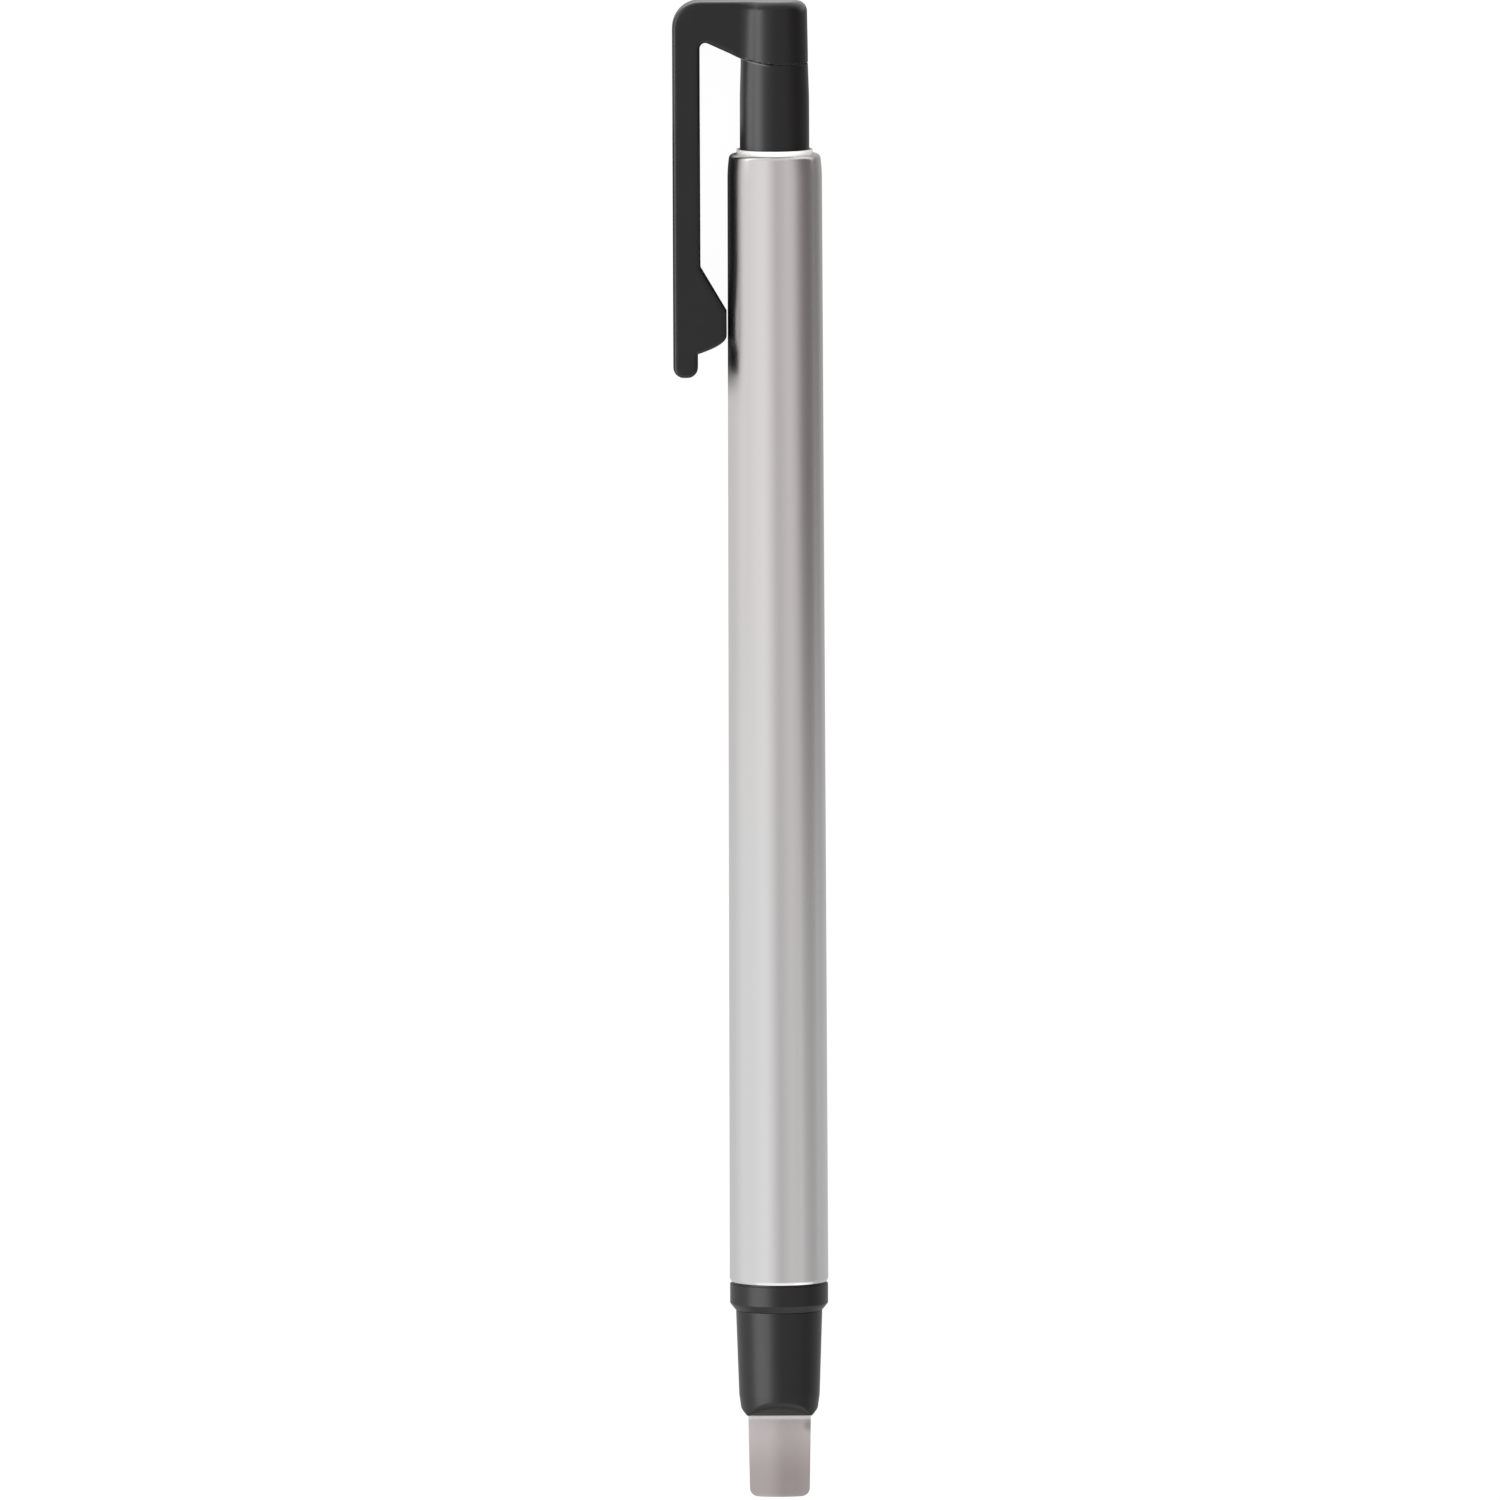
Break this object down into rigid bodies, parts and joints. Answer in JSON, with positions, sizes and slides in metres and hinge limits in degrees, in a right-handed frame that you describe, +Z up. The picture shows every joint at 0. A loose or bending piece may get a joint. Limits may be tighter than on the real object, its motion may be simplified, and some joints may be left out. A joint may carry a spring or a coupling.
{
  "type": "retractable eraser",
  "caption": "Pen-shaped click eraser holder: slim metal barrel, black nose, flat eraser strip, and a sprung button with a pocket clip.",
  "frame": {"origin": "on the table, under the middle of the holder's bounding box", "axes": "+X along the barrel to the eraser's working end, +Z up, the clip toward -Y and rolled down until its edge rests on the table"},
  "size_m": [0.12, 0.0122, 0.0079],
  "materials": {
    "satin_metal": "fine satin, polished at both rims",
    "black_plastic": "smooth moulded, half gloss",
    "eraser": "matt, lightly worn at the end",
    "pad_rubber": "matt",
    "white_plastic": "as moulded",
    "brass": "turned",
    "spring_steel": "drawn wire"
  },
  "bodies": {
    "barrel": {"barrel_tube": "satin_metal", "front_collar": "black_plastic", "nose_cone": "black_plastic", "mouth_retainer": "pad_rubber", "spring_seat": "spring_steel", "rear_bush": "white_plastic", "return_spring": "spring_steel"},
    "refill_carrier": {"refill_tube": "white_plastic", "chuck_holder": "white_plastic"},
    "ring": {"chuck_ring": "brass"},
    "jaw_upper": {"chuck_jaw_upper": "white_plastic"},
    "jaw_lower": {"chuck_jaw_lower": "white_plastic"},
    "strip": {"eraser_strip": "eraser"},
    "button": {"push_tube": "black_plastic", "clip_cap": "black_plastic"},
    "clip": {"clip_arm": "black_plastic"}
  },
  "joints": [
    {"name": "button_press", "type": "slide", "parent": "barrel", "child": "refill_carrier", "axis": [1, 0, 0], "range_m": [0, 0.003], "stiffness_N_per_m": 300, "springref_m": -0.001, "deforming": ["return_spring"]},
    {"name": "ring_slide", "type": "slide", "parent": "barrel", "child": "ring", "axis": [1, 0, 0], "range_m": [0, 0.001]},
    {"name": "jaw_upper_open", "type": "hinge", "parent": "refill_carrier", "child": "jaw_upper", "pos_m": [0.01598, 0.0016, 0.0059], "axis": [0, -0.959, -0.2834], "range_deg": [0, 0.8]},
    {"name": "jaw_lower_open", "type": "hinge", "parent": "refill_carrier", "child": "jaw_lower", "pos_m": [0.01598, 0.00276, 0.00198], "axis": [0, 0.959, 0.2834], "range_deg": [0, 0.8]},
    {"name": "eraser_feed", "type": "slide", "parent": "refill_carrier", "child": "strip", "axis": [1, 0, 0], "range_m": [-0.0066, 0.052]},
    {"name": "button_pull_out", "type": "slide", "parent": "refill_carrier", "child": "button", "axis": [-1, 0, 0], "range_m": [0, 0.016]},
    {"name": "clip_flex", "type": "hinge", "parent": "button", "child": "clip", "pos_m": [-0.0584, -0.0041, 0.00208], "axis": [0, 0.2834, -0.959], "range_deg": [0, 4], "stiffness_Nm_per_rad": 0.5}
  ],
  "couplings": [
    {"joint": "ring_slide", "follows": "button_press", "ratio": 0.3333},
    {"joint": "jaw_upper_open", "follows": "button_press", "rad_per_m": 4.65},
    {"joint": "jaw_lower_open", "follows": "button_press", "rad_per_m": 4.65}
  ]
}
